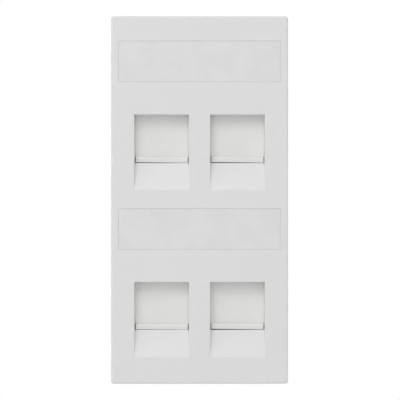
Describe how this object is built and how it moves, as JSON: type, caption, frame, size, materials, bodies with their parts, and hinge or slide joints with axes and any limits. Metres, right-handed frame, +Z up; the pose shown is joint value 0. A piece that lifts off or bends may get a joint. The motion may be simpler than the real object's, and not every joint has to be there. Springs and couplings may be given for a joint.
{
  "type": "keystone faceplate",
  "caption": "Tall wall plate for snap-in keystone jacks, with spring-closed sliding shutters, finger ramps and label strips",
  "frame": {"origin": "centre of the rear rim, in the plane that seats on the wall or frame", "axes": "+X to the right along the plate as seen from the front, +Y into the wall, +Z up"},
  "size_m": [0.052, 0.0152, 0.108],
  "materials": {
    "plate_plastic": "satin white moulding",
    "shutter_plastic": "smooth white moulding",
    "holder_plastic": "plain white moulding",
    "label_cover": "clear, lightly polished",
    "label_card": "white card",
    "spring_steel": "bright drawn wire",
    "screw_steel": "zinc plated"
  },
  "bodies": {
    "plate": {"faceplate": "plate_plastic", "label_cover_upper": "label_cover", "label_card_upper": "label_card", "label_cover_lower": "label_cover", "label_card_lower": "label_card", "jack_holder_upper_left": "holder_plastic", "shutter_spring_upper_left": "spring_steel", "jack_holder_upper_right": "holder_plastic", "shutter_spring_upper_right": "spring_steel", "jack_holder_lower_left": "holder_plastic", "shutter_spring_lower_left": "spring_steel", "jack_holder_lower_right": "holder_plastic", "shutter_spring_lower_right": "spring_steel", "holder_screws": "screw_steel"},
    "door_upper_left": {"shutter_upper_left": "shutter_plastic"},
    "door_upper_right": {"shutter_upper_right": "shutter_plastic"},
    "door_lower_left": {"shutter_lower_left": "shutter_plastic"},
    "door_lower_right": {"shutter_lower_right": "shutter_plastic"}
  },
  "joints": [
    {"name": "shutter_slide_upper_left", "type": "slide", "parent": "plate", "child": "door_upper_left", "axis": [0, 0, 1], "range_m": [0, 0.01185], "stiffness_N_per_m": 90, "springref_m": -0.003, "deforming": ["shutter_spring_upper_left"]},
    {"name": "shutter_slide_upper_right", "type": "slide", "parent": "plate", "child": "door_upper_right", "axis": [0, 0, 1], "range_m": [0, 0.01185], "stiffness_N_per_m": 90, "springref_m": -0.003, "deforming": ["shutter_spring_upper_right"]},
    {"name": "shutter_slide_lower_left", "type": "slide", "parent": "plate", "child": "door_lower_left", "axis": [0, 0, 1], "range_m": [0, 0.01185], "stiffness_N_per_m": 90, "springref_m": -0.003, "deforming": ["shutter_spring_lower_left"]},
    {"name": "shutter_slide_lower_right", "type": "slide", "parent": "plate", "child": "door_lower_right", "axis": [0, 0, 1], "range_m": [0, 0.01185], "stiffness_N_per_m": 90, "springref_m": -0.003, "deforming": ["shutter_spring_lower_right"]}
  ]
}
